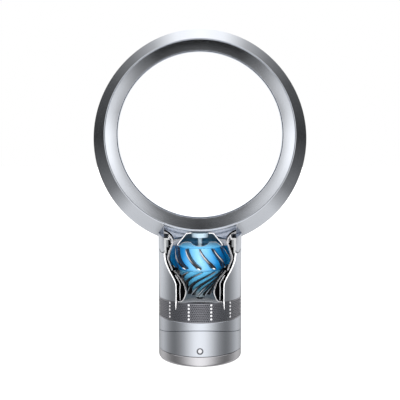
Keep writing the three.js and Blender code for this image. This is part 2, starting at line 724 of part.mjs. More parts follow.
addPiece('base_shell', baseShell(), 'silver');
addPiece('base_plate', basePlate(), 'charcoal');
addPiece('tilt_guide_left', tiltGuide(-1), 'white');
addPiece('tilt_guide_right', tiltGuide(1), 'white');
addPiece('circuit_board', circuitBoard(), 'resin');
addPiece('switch_board', block(-12, 12, -60.3, -58.8, PLATE_TOP + SEAT, 36), 'resin');
addPiece('button_switch', buttonSwitch(), 'charcoal');
addPiece('button_bezel', buttonBezel(), 'silver');
addPiece('oscillation_motor', oscillationMotor(), 'steel');
addPiece('oscillation_pinion', oscillationPinion(), 'white');
addPiece('power_button', powerButton(), 'silver');

addPiece('lower_casing', lowerCasing(), 'silver');
addPiece('body_floor', bodyFloor(), 'charcoal');
addPiece('intake_grille', intakeGrille(), 'grille');
addPiece('upper_casing', upperCasing(), 'silver');
addPiece('neck_collar', neckCollar(), 'cutEdge');
addPiece('loop_outer_casing', loopOuterCasing(), 'silver');
addPiece('loop_inner_casing', loopInnerCasing(), 'silver');

addPiece('bulkhead_ring', bulkheadRing(), 'charcoal');
addPiece('support_ring', halfRevolve([[52.9, 179], [67.2, 179], [67.2, 182], [52.9, 182]]), 'rubber');
addPiece('acoustic_foam', acousticFoam(), 'charcoal');
addPiece('diffuser_duct', diffuserDuct(), 'cutEdge');
addPiece('impeller_shroud', impellerShroud(), 'cutEdge');
addPiece('shroud_jacket', shroudJacket(), 'cutEdge');
addPiece('diffuser_hub', diffuserHub(), 'blue');
addPiece('motor_cap', motorCap(), 'grille');
addPiece('motor_mount_post', motorMountPost(), 'white');
addPiece('motor_can', motorCan(), 'steel');
addPiece('motor_bearing_lower', tube(2.9, 8.7, 153, 156.6, SMALL), 'steel');
addPiece('motor_bearing_upper', tube(2.9, 8.1, 184.3, 187.3, SMALL), 'steel');

addPiece('motor_shaft', rod(2.5, 103.2, 187, SMALL), 'steel');
addPiece('impeller', impeller(), 'blue');
addPiece('impeller_nut', revolve([[0, 97.8], [5, 99.2], [7.6, 102.7], [0, 102.7]], SMALL), 'steel');

export default fan;
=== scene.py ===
"""Looks of a sectioned bladeless desk fan: fine surfaces, finishes, and the studio round it.

Shape tables are in millimetres, in the row's own frame; Blender's objects are in metres.
The fan blows towards -Y and stands on z = 0.
"""

import json
import math

import bmesh
import bpy
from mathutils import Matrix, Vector


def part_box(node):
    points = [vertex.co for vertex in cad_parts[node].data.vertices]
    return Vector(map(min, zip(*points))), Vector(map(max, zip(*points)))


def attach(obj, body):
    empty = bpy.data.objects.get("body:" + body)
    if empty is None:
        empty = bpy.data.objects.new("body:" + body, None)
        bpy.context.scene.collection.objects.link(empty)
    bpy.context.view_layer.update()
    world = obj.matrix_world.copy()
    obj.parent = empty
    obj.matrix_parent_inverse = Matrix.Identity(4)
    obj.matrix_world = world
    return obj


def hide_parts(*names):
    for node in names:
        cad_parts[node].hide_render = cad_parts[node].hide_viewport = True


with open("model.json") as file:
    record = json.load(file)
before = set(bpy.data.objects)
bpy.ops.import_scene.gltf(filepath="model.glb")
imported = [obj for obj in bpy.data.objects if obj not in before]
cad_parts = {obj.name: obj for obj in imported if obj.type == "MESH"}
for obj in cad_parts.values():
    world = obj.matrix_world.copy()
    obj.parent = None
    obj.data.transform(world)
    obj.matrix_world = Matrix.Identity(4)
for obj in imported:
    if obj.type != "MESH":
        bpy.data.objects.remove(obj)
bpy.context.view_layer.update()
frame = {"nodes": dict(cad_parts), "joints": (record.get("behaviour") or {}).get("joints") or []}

# ---------------------------------------------------------------- sizes


def box_mm(node):
    """Lowest and highest corner of a CAD node, in millimetres."""
    return [[1000 * value for value in corner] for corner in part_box(node)]


MM = 0.001
BODY_R = box_mm("base_shell")[1][0]
WALL = 2.5
FOOT_TOP = box_mm("foot_shell")[1][2]
PAD_TOP = box_mm("foot_shell")[0][2]
BASE_BOTTOM = box_mm("base_shell")[0][2]
GRILLE_BOTTOM, GRILLE_TOP = (corner[2] for corner in box_mm("intake_grille"))
CASING_BOTTOM, CASING_TOP = (corner[2] for corner in box_mm("upper_casing"))
COLLAR_BOTTOM, COLLAR_CROWN = (corner[2] for corner in box_mm("neck_collar"))
LOOP_R = box_mm("loop_outer_casing")[1][0]
LOOP_Z = box_mm("loop_outer_casing")[1][2] - LOOP_R
EDGE_R = box_mm("loop_inner_casing")[1][0] + 1.0     # front edge of the loop
EDGE_Y = box_mm("loop_outer_casing")[0][1]
TILT_AXIS_Z = 1000 * next(j for j in frame["joints"] if j["name"] == "tilt")["pos_m"][2]
SADDLE_R = 196.0                    # the body slides on the base along this arc
HALF_JOINT = 0.4                    # half the dark line between body and base
COLLAR_CUT = box_mm("neck_collar")[0][1]
BLADES = 11
VANES = 12

# Air path, radius against height.
SHROUD_INNER = [
    (42.8, 147.2), (35.0, 137.2), (27.4, 126.3), (23.7, 115.2), (23.0, 107.7),
    (26.4, 97.8), (30.7, 92.7), (37.8, 92.2),
]
DUCT_INNER = [
    (45.6, 147.6), (49.9, 159.0), (53.1, 167.7), (52.0, 174.3), (46.6, 189.5), (44.4, 196.0),
]
ROTOR_TOP = 151.7
IMPELLER_HUB = [(12.0, 107.0), (15.5, 113.0), (30.0, 136.0), (35.5, 146.4), (38.4, ROTOR_TOP)]
DIFFUSER_HUB = [(38.6, 152.2), (42.0, 157.0), (44.5, 169.0), (38.6, 190.0)]
CAP_OUTSIDE = [(38.4, 190.4), (37.0, 193.6), (25.2, 208.0), (22.4, 210.6), (14.3, 211.6)]
CAP_INSIDE = [(14.3, 210.0), (21.9, 209.0), (23.9, 207.2), (35.4, 193.0), (36.8, 190.4)]
WINDOW_HALF = [
    (39.3, 100.0), (39.4, 130.3), (40.4, 137.5), (44.7, 146.1), (51.1, 156.4), (57.0, 168.7),
    (59.3, 181.8), (59.3, 190.0),
]

# ---------------------------------------------------------------- mesh helpers

FINE = 224
SHARP = math.radians(32)


def curve_through(points, cuts=6):
    """Catmull-Rom curve through the points, with some points in each span."""
    padded = [points[0], *points, points[-1]]
    curve = []
    for p0, p1, p2, p3 in zip(padded, padded[1:], padded[2:], padded[3:]):
        for i in range(cuts):
            t = i / cuts
            curve.append(tuple(
                0.5 * (2 * b + (c - a) * t + (2 * a - 5 * b + 4 * c - d) * t ** 2
                       + (3 * b - 3 * c + d - a) * t ** 3)
                for a, b, c, d in zip(p0, p1, p2, p3)))
    return curve + [points[-1]]


def arc(centre, radii, start, end, steps):
    """Points of an ellipse's arc, by angle in degrees."""
    angles = (math.radians(start + (end - start) * i / steps) for i in range(steps + 1))
    return [(centre[0] + radii[0] * math.cos(a), centre[1] + radii[1] * math.sin(a))
            for a in angles]


def offset(curve, distance):
    """The curve moved sideways, to its left for a positive distance."""
    moved = []
    for i, (u, v) in enumerate(curve):
        before, after = curve[max(i - 1, 0)], curve[min(i + 1, len(curve) - 1)]
        du, dv = after[0] - before[0], after[1] - before[1]
        length = math.hypot(du, dv) or 1.0
        moved.append((u - dv / length * distance, v + du / length * distance))
    return moved


def wall(curve, distance):
    """Closed outline of a wall that has the curve as one face."""
    return [*curve, *reversed(offset(curve, distance))]


def radius_at(profile, height):
    """Radius of a (radius, height) profile at one height."""
    rising = sorted(profile, key=lambda point: point[1])
    for (r0, z0), (r1, z1) in zip(rising, rising[1:]):
        if height <= z1:
            return r0 + (r1 - r0) * (height - z0) / (z1 - z0)
    return rising[-1][0]


def to_object(name, bm, materials, sharp=SHARP):
    """Object from a bmesh in millimetres, smooth apart from its sharp edges."""
    bmesh.ops.scale(bm, vec=(MM, MM, MM), verts=bm.verts)
    bmesh.ops.remove_doubles(bm, verts=bm.verts, dist=2e-6)
    bmesh.ops.dissolve_degenerate(bm, edges=bm.edges, dist=1e-6)
    bmesh.ops.recalc_face_normals(bm, faces=bm.faces)
    mark_sharp(bm, sharp)
    mesh = bpy.data.meshes.new(name)
    bm.to_mesh(mesh)
    bm.free()
    for material in materials:
        mesh.materials.append(material)
    piece = bpy.data.objects.new(name, mesh)
    bpy.context.scene.collection.objects.link(piece)
    return piece


def mark_sharp(bm, sharp=SHARP):
    """Smooth faces, with sharp edges at steep angles and between materials."""
    for face in bm.faces:
        face.smooth = True
    for edge in bm.edges:
        faces = edge.link_faces
        flat = len(faces) == 2 and faces[0].material_index == faces[1].material_index
        edge.smooth = flat and edge.calc_face_angle(0.0) < sharp


def lathe(name, outline, materials, about="Z", centre=0.0, steps=FINE, start=0.0, end=360.0):
    """Revolve a closed (radius, height) outline. An open sweep gets caps in the last material."""
    bm = bmesh.new()
    whole = end - start >= 360.0
    rings = []
    for i in range(steps if whole else steps + 1):
        angle = math.radians(start + (end - start) * i / steps)
        along, across = math.cos(angle), math.sin(angle)
        if about == "Z":
            ring = [bm.verts.new((r * along, r * across, h + centre)) for r, h in outline]
        else:
            ring = [bm.verts.new((r * along, h, r * across + centre)) for r, h in outline]
        rings.append(ring)
    pairs = list(zip(rings, rings[1:] + rings[:1])) if whole else list(zip(rings, rings[1:]))
    count = len(outline)
    for ring, after in pairs:
        for k in range(count):
            j = (k + 1) % count
            if outline[k][0] == 0 and outline[j][0] == 0:
                continue
            bm.faces.new((ring[k], ring[j], after[j], after[k]))
    if not whole:
        for ring in (rings[0], rings[-1]):
            bm.faces.new(ring).material_index = len(materials) - 1
    return to_object(name, bm, materials)


def prism(name, outline, materials, along, low, high):
    """Extrude (y, z) points along X, (x, z) along Y or (x, y) along Z.

    The two ends take the last material.
    """
    bm = bmesh.new()
    place = {
        "X": lambda u, v, w: (w, u, v),
        "Y": lambda u, v, w: (u, w, v),
        "Z": lambda u, v, w: (u, v, w),
    }[along]
    rings = [[bm.verts.new(place(u, v, w)) for u, v in outline] for w in (low, high)]
    for ring in rings:
        bm.faces.new(ring).material_index = len(materials) - 1
    for k in range(len(outline)):
        j = (k + 1) % len(outline)
        bm.faces.new((rings[0][k], rings[0][j], rings[1][j], rings[1][k]))
    return to_object(name, bm, materials)


def block(name, materials, x, y, z):
    """Box between the two values of each of x, y and z."""
    outline = [(x[0], y[0]), (x[1], y[0]), (x[1], y[1]), (x[0], y[1])]
    return prism(name, outline, materials, "Z", *z)


def combine(piece, tool, operation="DIFFERENCE"):
    """Boolean with the tool, which is used up; cut faces take the tool's material."""
    modifier = piece.modifiers.new("combine", "BOOLEAN")
    modifier.operation = operation
    modifier.solver = "EXACT"
    modifier.material_mode = "TRANSFER"
    modifier.object = tool
    bpy.context.view_layer.update()
    graph = bpy.context.evaluated_depsgraph_get()
    mesh = bpy.data.meshes.new_from_object(piece.evaluated_get(graph))
    piece.modifiers.clear()
    piece.data = mesh
    bpy.data.objects.remove(tool)
    bm = bmesh.new()
    bm.from_mesh(mesh)
    mark_sharp(bm)
    bm.to_mesh(mesh)
    bm.free()
    return piece


def add(piece, body, slot, *nodes):
    """The piece rides on a body and stands for CAD nodes, which it hides; the slot is not used."""
    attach(piece, body)
    if nodes:
        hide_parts(*nodes)
    return piece


# ---------------------------------------------------------------- materials


def new_material(name):
    material = bpy.data.materials.new(name)
    material.use_nodes = True
    nodes = material.node_tree.nodes
    nodes.clear()
    shader = nodes.new("ShaderNodeBsdfPrincipled")
    output = nodes.new("ShaderNodeOutputMaterial")
    material.node_tree.links.new(shader.outputs["BSDF"], output.inputs["Surface"])
    return material, nodes, material.node_tree.links.new, shader


def finish(name, colour, roughness, metallic=0.0, grain=900.0, tint=0.06, spread=0.05,
           bump=0.00002, coat=0.0, specular=0.5):
    """Moulded or painted surface: fine grain in its colour, its roughness and its relief."""
    material, nodes, link, shader = new_material(name)
    shader.inputs["Metallic"].default_value = metallic
    shader.inputs["Coat Weight"].default_value = coat
    shader.inputs["Specular IOR Level"].default_value = specular
    place = nodes.new("ShaderNodeTexCoord")
    noise = nodes.new("ShaderNodeTexNoise")
    noise.inputs["Scale"].default_value = grain
    noise.inputs["Detail"].default_value = 3.0
    link(place.outputs["Object"], noise.inputs["Vector"])

    ramp = nodes.new("ShaderNodeValToRGB")
    ramp.color_ramp.elements[0].position = 0.3
    ramp.color_ramp.elements[1].position = 0.7
    ramp.color_ramp.elements[0].color = (*(c * (1 - tint) for c in colour), 1)
    ramp.color_ramp.elements[1].color = (*(min(1, c * (1 + tint)) for c in colour), 1)
    link(noise.outputs["Fac"], ramp.inputs["Fac"])
    link(ramp.outputs["Color"], shader.inputs["Base Color"])

    rough = nodes.new("ShaderNodeMapRange")
    rough.inputs["To Min"].default_value = max(0.02, roughness - spread)
    rough.inputs["To Max"].default_value = min(1.0, roughness + spread)
    link(noise.outputs["Fac"], rough.inputs["Value"])
    link(rough.outputs["Result"], shader.inputs["Roughness"])

    relief = nodes.new("ShaderNodeBump")
    relief.inputs["Distance"].default_value = bump
    link(noise.outputs["Fac"], relief.inputs["Height"])
    link(relief.outputs["Normal"], shader.inputs["Normal"])
    return material


def share_between(nodes, link, value, border):
    """Node for the share, from 0 to 1, of the way between the two values of a border."""
    share = nodes.new("ShaderNodeMapRange")
    share.inputs["From Min"].default_value, share.inputs["From Max"].default_value = border
    link(value, share.inputs["Value"])
    return share


def shade_and_colour_bands(name, axis, reach, stops, *arguments, glow=0.0, **options):
    """A material whose colour runs through stops along |X| or Z, mostly painted light and shade;
    the glow, where given, is painted light as well.

    The reach is the two places, in metres, that the stops' positions 0 and 1 stand for.
    """
    material = finish(name, *arguments, **options)
    nodes, link = material.node_tree.nodes, material.node_tree.links.new
    place = next(n for n in nodes if n.type == "TEX_COORD")
    shader = next(n for n in nodes if n.type == "BSDF_PRINCIPLED")
    axes = nodes.new("ShaderNodeSeparateXYZ")
    link(place.outputs["Object"], axes.inputs["Vector"])
    side = nodes.new("ShaderNodeMath")
    side.operation = "ABSOLUTE"
    link(axes.outputs[axis], side.inputs[0])
    share = share_between(nodes, link, side.outputs["Value"], reach)
    ramp = nodes.new("ShaderNodeValToRGB")
    elements = ramp.color_ramp.elements
    elements[0].position, elements[0].color = stops[0][0], (*stops[0][1], 1)
    elements[1].position, elements[1].color = stops[-1][0], (*stops[-1][1], 1)
    for position, colour in stops[1:-1]:
        elements.new(position).color = (*colour, 1)
    link(share.outputs["Result"], ramp.inputs["Fac"])
    link(ramp.outputs["Color"], shader.inputs["Base Color"])
    # The ramp's colour can also glow: painted light, though the part is no lamp.
    link(ramp.outputs["Color"], shader.inputs["Emission Color"])
    shader.inputs["Emission Strength"].default_value = glow
    return material


silver = finish("silver_lacquer", (0.785, 0.82, 0.885), 0.22, metallic=1.0, grain=3500, tint=0.01,
                spread=0.01, bump=0.000001)
silver_warm = finish("silver_lacquer_foot", (0.80, 0.79, 0.82), 0.22, metallic=1.0, grain=3500,
                     tint=0.01, spread=0.01, bump=0.000001)
section = finish("section_face", (0.93, 0.92, 0.93), 0.5, tint=0.02)
# Cut faces glow faintly white: painted light, they are no lamp.
section_glow_inputs = section.node_tree.nodes["Principled BSDF"].inputs
section_glow_inputs["Emission Color"].default_value = (1, 1, 1, 1)
section_glow_inputs["Emission Strength"].default_value = 0.3
section_inner = finish("section_inner", (0.80, 0.79, 0.80), 0.5, tint=0.03)
collar_face = finish("collar_face", (0.34, 0.345, 0.35), 0.5, tint=0.02)
section_grey = finish("section_grey", (0.13, 0.135, 0.14), 0.5, tint=0.03)
# Grille: painted shade by |X|, darker a little way off the middle and paler towards the sides.
grille_painted_shade = shade_and_colour_bands("grille_painted_shade", "X", (0.0, 0.07), [
    (0.0, (0.34, 0.34, 0.37)), (0.25, (0.29, 0.29, 0.32)), (0.6, (0.33, 0.33, 0.36)),
    (0.78, (0.46, 0.45, 0.48)), (1.0, (0.44, 0.43, 0.46))], (0.4, 0.4, 0.4), 0.3, metallic=1.0,
    grain=3500, tint=0.02, spread=0.02, bump=0.000001)
grille_strip = finish("grille_strip", (0.9, 0.9, 0.92), 0.35, metallic=0.6, grain=3500, tint=0.01)
# Near black hole walls: painted shade inside the grille's holes and along the ring's edges.
grille_hole_shade = finish("grille_hole_shade", (0.05, 0.054, 0.062), 0.6)
# Inside of the grille: painted light, paler low down and darker higher up, with a glow.
grille_inside_painted_light = shade_and_colour_bands("grille_inside_painted_light", "Z", (0.074, 0.094), [
    (0.0, (0.58, 0.61, 0.65)), (0.13, (0.52, 0.55, 0.59)), (0.22, (0.39, 0.41, 0.45)),
    (0.3, (0.29, 0.31, 0.34)), (0.45, (0.21, 0.23, 0.26)), (1.0, (0.15, 0.17, 0.2))],
    (0.4, 0.4, 0.4), 0.6, glow=0.4)
charcoal = finish("charcoal_plastic", (0.02, 0.02, 0.024), 0.6, grain=1500)
# Near black: painted shade on the walls, rings, grooves and gaps of the cavities in the body,
# collar and shroud.
cavity_shade = finish("cavity_painted_shade", (0.006, 0.006, 0.008), 0.8, grain=600, bump=0.0002)
# Dark brown core: painted shade in the hollow between the shroud's skins.
core_shade = finish("shroud_core_painted_shade", (0.035, 0.028, 0.026), 0.6)
# Duct: painted light and shade, near black low down and pale at the top, with a glow.
duct_painted_shade = shade_and_colour_bands("duct_plastic", "Z", (0.150, 0.182), [
    (0.0, (0.01, 0.011, 0.013)), (0.45, (0.06, 0.07, 0.08)), (0.8, (0.8, 0.8, 0.82)),
    (1.0, (0.8, 0.8, 0.82))], (0.5, 0.5, 0.5), 0.4, glow=0.25, tint=0.03)
# Bell mouth: painted light, grey low down fading to near black higher up, with a glow.
mouth_painted_light = shade_and_colour_bands("bell_mouth_painted_light", "Z", (0.092, 0.122), [
    (0.0, (0.21, 0.25, 0.29)), (0.4, (0.11, 0.15, 0.19)), (0.75, (0.04, 0.09, 0.14)),
    (1.0, (0.01, 0.02, 0.03))], (0.2, 0.2, 0.2), 0.4, glow=0.35, tint=0.03)
# Hub barrel: painted highlight, pale blue in the middle and deep blue towards the sides.
hub_painted_highlight = shade_and_colour_bands("blue_barrel_painted_highlight", "X", (0.0, 0.045), [
    (0.0, (0.28, 0.60, 0.84)), (0.35, (0.12, 0.46, 0.82)), (0.62, (0.01, 0.26, 0.66)),
    (1.0, (0.0, 0.10, 0.32))], (0.3, 0.62, 0.86), 0.3, metallic=0.15, tint=0.03, coat=0.3)
# Impeller cone: painted reflection, pale grey blue at its foot, then dark, then blue towards the
# top.
wheel_painted_reflection = shade_and_colour_bands("blue_wheel_painted_reflection", "Z", (0.103, 0.152), [
    (0.0, (0.50, 0.60, 0.66)), (0.15, (0.40, 0.52, 0.60)), (0.32, (0.10, 0.32, 0.46)),
    (0.7, (0.10, 0.45, 0.75)), (1.0, (0.14, 0.52, 0.84))], (0.1, 0.4, 0.7), 0.26, metallic=0.15,
    coat=0.3)
vane_dark = shade_and_colour_bands("dark_vane", "X", (0.0, 0.05), [
    (0.0, (0.012, 0.012, 0.015)), (0.7, (0.012, 0.012, 0.02)), (0.86, (0.0, 0.10, 0.26)),
    (1.0, (0.01, 0.14, 0.32))], (0.01, 0.01, 0.01), 0.16, grain=2500, tint=0.02,
    spread=0.02, bump=0.000002)
# Vane tips and noses: painted highlights, white at the nose and pale higher up, dark between.
vane_painted_highlight = shade_and_colour_bands("vane_painted_highlights", "Z", (0.1566, 0.1896), [
    (0.0, (0.9, 0.9, 0.9)), (0.07, (0.9, 0.9, 0.9)), (0.1, (0.01, 0.01, 0.012)),
    (0.3, (0.01, 0.01, 0.012)), (0.55, (0.42, 0.40, 0.40)), (0.85, (0.50, 0.48, 0.50)),
    (1.0, (0.04, 0.05, 0.08))], (0.3, 0.3, 0.3), 0.3, grain=2500, tint=0.02,
    spread=0.02, bump=0.000002)
blade_dark = finish("dark_blade", (0.012, 0.013, 0.016), 0.16, grain=2500, tint=0.02,
                    spread=0.02, bump=0.000002)
# Blade tips and lower ends: painted highlights, pale low down and at the top, dark between.
blade_painted_highlight = shade_and_colour_bands("blade_painted_highlights", "Z", (0.105, 0.152), [
    (0.0, (0.55, 0.6, 0.64)), (0.25, (0.30, 0.36, 0.42)), (0.4, (0.03, 0.04, 0.05)),
    (0.8, (0.02, 0.02, 0.025)), (1.0, (0.55, 0.52, 0.52))], (0.3, 0.3, 0.3), 0.3,
    grain=2500, tint=0.02, spread=0.02, bump=0.000002)
cap_grey = shade_and_colour_bands("cap_plastic", "Z", (0.190, 0.200), [
    (0.0, (0.10, 0.45, 0.78)), (0.5, (0.10, 0.30, 0.48)), (1.0, (0.12, 0.20, 0.27))],
    (0.28, 0.4, 0.48), 0.35, coat=0.2)
post_pale = finish("post_plastic", (0.62, 0.80, 0.92), 0.4)
rubber = finish("rubber", (0.015, 0.015, 0.016), 0.75, grain=700, bump=0.0001)
steel = finish("turned_steel", (0.55, 0.56, 0.58), 0.28, metallic=1.0, grain=400)
nylon = finish("nylon", (0.75, 0.75, 0.72), 0.5)
resin = finish("board_resin", (0.01, 0.09, 0.035), 0.45, grain=250)
button_silver = finish("button_silver", (0.92, 0.92, 0.95), 0.2, metallic=1.0, tint=0.02)
ring_grey = finish("button_ring", (0.32, 0.33, 0.36), 0.3, metallic=1.0, tint=0.02)

for node, material in {
    "foot_pad": rubber, "cable_gland": rubber, "swivel_spindle": steel, "spindle_clip": steel,
    "swivel_bearing": nylon, "ring_gear": nylon, "base_plate": charcoal,
    "tilt_guide_left": nylon, "tilt_guide_right": nylon, "circuit_board": resin,
    "switch_board": resin, "button_switch": charcoal, "oscillation_motor": steel,
    # The bulkhead, the support ring and the foam take the cavity's painted shade.
    "oscillation_pinion": nylon, "body_floor": charcoal, "bulkhead_ring": cavity_shade,
    "support_ring": cavity_shade, "acoustic_foam": cavity_shade, "motor_can": steel,
    "motor_bearing_lower": steel, "motor_bearing_upper": steel, "motor_shaft": steel,
    "impeller_nut": steel,
}.items():
    slots = frame["nodes"][node].data.materials
    slots.clear()
    slots.append(material)

# ---------------------------------------------------------------- foot and base

FOOT_ROUND = 6.0
EDGE_BREAK = 0.35                   # small chamfer on the visible edges
BUTTON_Z = 28.4


def make_foot():
    corner = (BODY_R - FOOT_ROUND, PAD_TOP + FOOT_ROUND)
    outline = [
        (10.0, PAD_TOP), *arc(corner, (FOOT_ROUND, FOOT_ROUND), -90, 0, 12),
        (BODY_R, FOOT_TOP - EDGE_BREAK), (BODY_R - EDGE_BREAK, FOOT_TOP),
        (BODY_R - WALL, FOOT_TOP),
        *arc(corner, (FOOT_ROUND - WALL, FOOT_ROUND - WALL), 0, -90, 6),
        (49, 3.7), (49, 14.7), (45, 14.7), (45, 7.7), (33, 7.7), (33, 3.7), (10.0, 3.7),
    ]
    foot = lathe("foot", outline, [silver_warm])
    hole = lathe("gland_hole", [(0, 56), (5.2, 56), (5.2, 90), (0, 90)], [charcoal], about="Y",
                 centre=11.2, steps=48)
    return add(combine(foot, hole), "foot", "silver_shell", "foot_shell")


def saddle_height(y, radius):
    """Height of an arc of this radius about the tilt axis, by depth."""
    return TILT_AXIS_Z - math.sqrt(radius ** 2 - y ** 2)


def curved_drum(name, materials, radius_in, radius_out, low, high, steps=FINE):
    """Tube whose lower and upper ends are functions of y."""
    bm = bmesh.new()
    rings = []
    for i in range(steps):
        angle = 2 * math.pi * i / steps
        ring = []
        for r, end, shift in (
            (radius_in, low, 0), (radius_out - EDGE_BREAK, low, 0), (radius_out, low, EDGE_BREAK),
            (radius_out, high, -EDGE_BREAK), (radius_out - EDGE_BREAK, high, 0),
            (radius_in, high, 0),
        ):
            x, y = r * math.cos(angle), r * math.sin(angle)
            ring.append(bm.verts.new((x, y, end(y) + shift)))
        rings.append(ring)
    for ring, after in zip(rings, rings[1:] + rings[:1]):
        for k in range(len(ring)):
            j = (k + 1) % len(ring)
            bm.faces.new((ring[k], ring[j], after[j], after[k]))
    return to_object(name, bm, materials)


def saddle_plate(name, materials, radius, upper, lower, steps=48):
    """Round plate that follows the saddle, between two arcs."""
    bm = bmesh.new()
    layers = []
    for arc_radius in (upper, lower):
        rows = []
        for i in range(1, steps + 1):
            y = -radius * math.cos(math.pi * i / (steps + 1))
            x = math.sqrt(radius ** 2 - y ** 2)
            z = saddle_height(y, arc_radius)
            rows.append((bm.verts.new((-x, y, z)), bm.verts.new((x, y, z))))
        layers.append(rows)
    for rows in layers:
        for (a, b), (c, d) in zip(rows, rows[1:]):
            bm.faces.new((a, b, d, c))
    for side in (0, 1):
        for i in range(steps - 1):
            bm.faces.new((layers[0][i][side], layers[0][i + 1][side],
                          layers[1][i + 1][side], layers[1][i][side]))
    for i in (0, steps - 1):
        bm.faces.new((layers[0][i][0], layers[0][i][1], layers[1][i][1], layers[1][i][0]))
    return to_object(name, bm, materials)


def make_base():
    top = SADDLE_R + HALF_JOINT
    shell = curved_drum("base_drum", [silver], BODY_R - WALL, BODY_R,
                        lambda y: BASE_BOTTOM, lambda y: saddle_height(y, top))
    hole = lathe("button_hole", [(0, -90), (5.5, -90), (5.5, -50), (0, -50)], [charcoal],
                 about="Y", centre=BUTTON_Z, steps=64)
    combine(shell, hole)
    saddle = saddle_plate("base_saddle", [charcoal], BODY_R - WALL + 0.2, top, top + WALL)
    # Slots for the tilt guides at both sides, and an opening between them.
    for x, half, depth in ((-34.0, 3.2, 4.0), (0.0, 9.0, 9.0), (34.0, 3.2, 4.0)):
        combine(saddle, block("slot", [charcoal], (x - half, x + half), (-depth, depth), (40, 60)))
    add(shell, "base", "silver_shell", "base_shell")
    return add(saddle, "base", "dark_plastic")


def make_button():
    bezel = lathe("power_button_ring", [
        (4.1, -69.4), (4.1, -65.4), (7.0, -65.4), (7.0, -66.8), (5.2, -66.8), (5.2, -69.5),
        (5.0, -69.8), (4.3, -69.6),
    ], [ring_grey], about="Y", centre=BUTTON_Z, steps=72)
    cap = lathe("power_button_cap", [
        (0, -69.95), (1.8, -69.9), (3.2, -69.7), (3.8, -69.1), (3.8, -65.1), (5.6, -65.1),
        (5.6, -64.3), (2.0, -64.3), (2.0, -63.9), (0, -63.9),
    ], [button_silver], about="Y", centre=BUTTON_Z, steps=72)
    add(bezel, "base", "silver_shell", "button_bezel")
    add(cap, "button", "silver_shell", "power_button")


# ---------------------------------------------------------------- casing and grille


def make_lower_casing():
    under = SADDLE_R - HALF_JOINT
    shell = curved_drum("lower_body", [silver], BODY_R - WALL, BODY_R,
                        lambda y: saddle_height(y, under), lambda y: GRILLE_BOTTOM - 0.3)
    return add(shell, "body", "silver_shell", "lower_casing")


def make_grille():
    """Hexagonal lattice rolled into a ring, with a chain of blind cells every 30 degrees."""
    zones, columns, rows = 12, 11, 10
    count = zones * columns
    radius, depth = BODY_R - 0.3, 1.7
    pitch = 2 * math.pi * BODY_R / count
    side = pitch / math.sqrt(3)
    open_hole, small_hole, hole_floor = 0.76, 0.6, 0.14     # shares of the cell
    height = GRILLE_TOP - GRILLE_BOTTOM
    first = GRILLE_BOTTOM + (height - 1.5 * side * (rows - 1)) / 2
    lattice, chain, hole_wall, inside = 0, 1, 2, 3
    bm = bmesh.new()

    def at(column, z, r):
        angle = 2 * math.pi * column / count - math.pi / 2
        return (r * math.cos(angle), r * math.sin(angle), z)

    def ring(column, z, share, r):
        return [bm.verts.new(at(column + share * side * math.sin(math.pi / 3 * k) / pitch,
                                z + share * side * math.cos(math.pi / 3 * k), r))
                for k in range(6)]

    def band(outer, inner, material):
        for k in range(6):
            j = (k + 1) % 6
            bm.faces.new((outer[k], outer[j], inner[j], inner[k])).material_index = material

    for row in range(rows):
        z = first + 1.5 * side * row
        odd = row % 2
        for i in range(count):
            column = i + 0.5 * odd
            blind = odd and (i - columns // 2) % columns == 0
            beside = not odd and (i - columns // 2) % columns in (0, 1)
            front, back = ring(column, z, 1.0, radius), ring(column, z, 1.0, radius - depth)
            if blind:
                bm.faces.new(front).material_index = chain
                bm.faces.new(back).material_index = inside
                continue
            rim = ring(column, z, small_hole if beside else open_hole, radius)
            floor = ring(column, z, hole_floor, radius - depth)
            band(front, rim, lattice)
            band(rim, floor, hole_wall)
            band(floor, back, inside)
    # Rims: from the zigzag of the outer rows to the straight edges of the ring.
    for low in (True, False):
        row = 0 if low else rows - 1
        z = first + 1.5 * side * row
        end = GRILLE_BOTTOM if low else GRILLE_TOP
        turn = -1 if low else 1
        line = []
        for i in range(count):
            column = i + 0.5 * (row % 2)
            line.append((column - 0.5, z + turn * side / 2))
            line.append((column, z + turn * side))
        pairs = list(zip(line, line[1:] + [(line[0][0] + count, line[0][1])]))
        for (u0, v0), (u1, v1) in pairs:
            loops = [[bm.verts.new(at(u, v, r)) for u, v in
                      ((u0, v0), (u1, v1), (u1, end), (u0, end))]
                     for r in (radius, radius - depth)]
            for loop in loops:
                bm.faces.new(loop)
            edge = bm.faces.new((loops[0][2], loops[0][3], loops[1][3], loops[1][2]))
            edge.material_index = hole_wall
    grille = to_object("perforated_grille", bm, [grille_painted_shade, grille_strip, grille_hole_shade,
                                                  grille_inside_painted_light])
    return add(grille, "body", "grille_plastic", "intake_grille")


def window_tool():
    """Cutter for the casing's window, whose sides point at the axis."""
    near, far, steps = 60.0, 85.0, 16
    bm = bmesh.new()
    rings = []
    for x, z in curve_through(WINDOW_HALF, 5):
        half = math.asin(x / BODY_R)
        front = [half * (2 * i / steps - 1) for i in range(steps + 1)]
        places = [(far, a) for a in front] + [(near, half), (near, -half)]
        rings.append([bm.verts.new((r * math.sin(a), -r * math.cos(a), z)) for r, a in places])
    for ring, after in zip(rings, rings[1:]):
        for k in range(len(ring)):
            j = (k + 1) % len(ring)
            bm.faces.new((ring[k], ring[j], after[j], after[k]))
    bm.faces.new(rings[0])
    bm.faces.new(rings[-1])
    return to_object("window", bm, [section])


